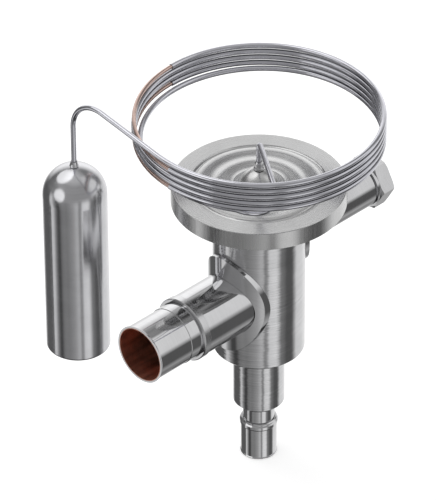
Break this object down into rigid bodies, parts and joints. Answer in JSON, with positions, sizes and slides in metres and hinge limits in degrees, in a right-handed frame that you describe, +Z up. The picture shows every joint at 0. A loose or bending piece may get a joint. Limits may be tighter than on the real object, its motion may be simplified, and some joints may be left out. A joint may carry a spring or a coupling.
{
  "type": "thermostatic expansion valve",
  "caption": "Refrigerant expansion valve with diaphragm head, coiled sensing line and bulb, angle body with two solder sockets and a capped adjusting spindle.",
  "frame": {"origin": "centre of the inlet socket's mouth, on the valve's axis, at the lowest point", "axes": "+Z up the valve's axis towards the power head, +X out of the outlet, so -X along the adjusting spindle, and the bulb on the -Y side"},
  "size_m": [0.0954, 0.0837, 0.1226],
  "materials": {
    "brushed_steel": "turned and brushed stainless steel, fine circumferential marks",
    "polished_steel": "bright polished stainless steel",
    "copper": "bare copper, slightly dulled",
    "brass": "turned brass",
    "spring_steel": "drawn spring steel",
    "black_seal": "black seal material"
  },
  "bodies": {
    "valve": {"valve_body": "brushed_steel", "inlet_housing": "brushed_steel", "inlet_socket": "polished_steel", "inlet_socket_liner": "copper", "outlet_pipe": "polished_steel", "outlet_socket": "polished_steel", "outlet_socket_liner": "copper", "outlet_saddle": "polished_steel", "spindle_housing": "polished_steel", "spindle_saddle": "polished_steel", "spindle_bush": "brass", "spindle_seal": "black_seal", "gland_nut": "brass", "guide_insert": "brass", "gear_clip": "spring_steel", "orifice_seat": "brass", "cone_spring": "spring_steel", "inlet_strainer": "brushed_steel", "head_lower_cover": "brushed_steel", "diaphragm": "spring_steel", "head_upper_cover": "brushed_steel", "line_collar": "brushed_steel", "line_lead": "polished_steel", "line_middle": "polished_steel", "line_tail": "polished_steel", "line_core_upper": "copper", "line_core_lower": "copper", "bulb": "polished_steel", "bulb_ferrule": "polished_steel"},
    "spindle": {"adjusting_spindle": "brushed_steel"},
    "gear": {"crown_gear": "brass"},
    "seat": {"spring_seat": "brass", "superheat_spring": "spring_steel"},
    "stem": {"push_pin": "brushed_steel", "pressure_pad": "brushed_steel", "valve_cone": "brushed_steel"},
    "washer": {"cap_washer": "polished_steel"},
    "cap": {"seal_cap": "brushed_steel"}
  },
  "joints": [
    {"name": "spindle_turn", "type": "hinge", "parent": "valve", "child": "spindle", "pos_m": [0, 0, 0.0731], "axis": [1, 0, 0], "range_deg": [-1080, 1080]},
    {"name": "crown_gear_turn", "type": "hinge", "parent": "valve", "child": "gear", "pos_m": [0, 0, 0], "axis": [0, 0, 1], "range_deg": [-360, 360]},
    {"name": "spring_seat_travel", "type": "slide", "parent": "valve", "child": "seat", "axis": [0, 0, 1], "range_m": [-0.001, 0.001], "deforming": ["superheat_spring"]},
    {"name": "valve_stroke", "type": "slide", "parent": "valve", "child": "stem", "axis": [0, 0, 1], "range_m": [-0.0008, 0], "stiffness_N_per_m": 2000, "springref_m": 0.0005, "deforming": ["superheat_spring", "cone_spring", "diaphragm"]},
    {"name": "cap_travel", "type": "slide", "parent": "valve", "child": "washer", "axis": [-1, 0, 0], "range_m": [0, 0.008]},
    {"name": "cap_turn", "type": "hinge", "parent": "washer", "child": "cap", "pos_m": [-0.043, 0, 0.0731], "axis": [-1, 0, 0], "range_deg": [0, 2880]}
  ],
  "couplings": [
    {"joint": "spindle_turn", "follows": "spring_seat_travel", "rad_per_m": 18850},
    {"joint": "crown_gear_turn", "follows": "spring_seat_travel", "rad_per_m": 6283.2},
    {"joint": "cap_turn", "follows": "cap_travel", "rad_per_m": 6283.2}
  ]
}
